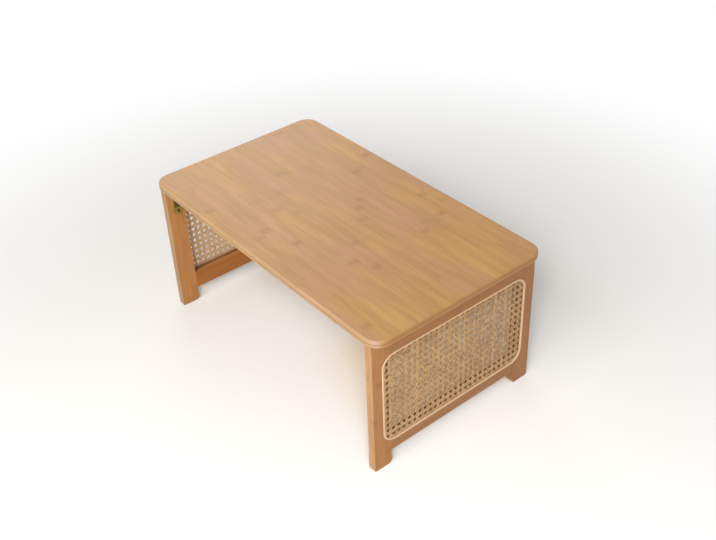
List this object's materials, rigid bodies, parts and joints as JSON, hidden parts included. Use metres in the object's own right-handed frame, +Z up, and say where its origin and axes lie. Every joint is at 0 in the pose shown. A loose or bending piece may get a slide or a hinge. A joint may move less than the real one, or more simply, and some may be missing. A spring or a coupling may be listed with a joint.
{
  "type": "folding low table",
  "caption": "Low rectangular bamboo table whose two cane-filled end panels fold inward flat under the top on detent brackets.",
  "frame": {"origin": "on the floor, under the middle of the top", "axes": "+X along the long side, +Y along the short side from front to back, +Z up"},
  "size_m": [0.7, 0.4, 0.31],
  "materials": {
    "bamboo": "laminated bamboo, clear satin lacquer",
    "cane": "woven natural cane, six-way weave, dry satin",
    "spline": "bleached reed, smooth satin",
    "bracket": "stamped steel, yellow zinc passivate",
    "rivet": "yellow zinc passivate",
    "spring_steel": "blued spring steel",
    "screw": "yellow zinc passivate, darker in the recess"
  },
  "bodies": {
    "top": {"tabletop": "bamboo", "left_front_top_bracket": "bracket", "left_front_top_screws": "screw", "left_front_pivot_rivet": "rivet", "left_back_top_bracket": "bracket", "left_back_top_screws": "screw", "left_back_pivot_rivet": "rivet", "right_front_top_bracket": "bracket", "right_front_top_screws": "screw", "right_front_pivot_rivet": "rivet", "right_back_top_bracket": "bracket", "right_back_top_screws": "screw", "right_back_pivot_rivet": "rivet"},
    "left_leg_panel": {"left_front_stile": "bamboo", "left_back_stile": "bamboo", "left_top_rail": "bamboo", "left_bottom_rail": "bamboo", "left_cane_panel": "cane", "left_cane_spline": "spline", "left_front_leg_bracket": "bracket", "left_front_leg_screws": "screw", "left_front_detent_spring": "spring_steel", "left_back_leg_bracket": "bracket", "left_back_leg_screws": "screw", "left_back_detent_spring": "spring_steel"},
    "right_leg_panel": {"right_front_stile": "bamboo", "right_back_stile": "bamboo", "right_top_rail": "bamboo", "right_bottom_rail": "bamboo", "right_cane_panel": "cane", "right_cane_spline": "spline", "right_front_leg_bracket": "bracket", "right_front_leg_screws": "screw", "right_front_detent_spring": "spring_steel", "right_back_leg_bracket": "bracket", "right_back_leg_screws": "screw", "right_back_detent_spring": "spring_steel"}
  },
  "joints": [
    {"name": "left_panel_fold", "type": "hinge", "parent": "top", "child": "left_leg_panel", "pos_m": [-0.306, 0, 0.283], "axis": [0, -1, 0], "range_deg": [0, 90], "deforming": ["left_front_detent_spring", "left_back_detent_spring"]},
    {"name": "right_panel_fold", "type": "hinge", "parent": "top", "child": "right_leg_panel", "pos_m": [0.306, 0, 0.283], "axis": [0, 1, 0], "range_deg": [0, 90], "deforming": ["right_front_detent_spring", "right_back_detent_spring"]}
  ]
}
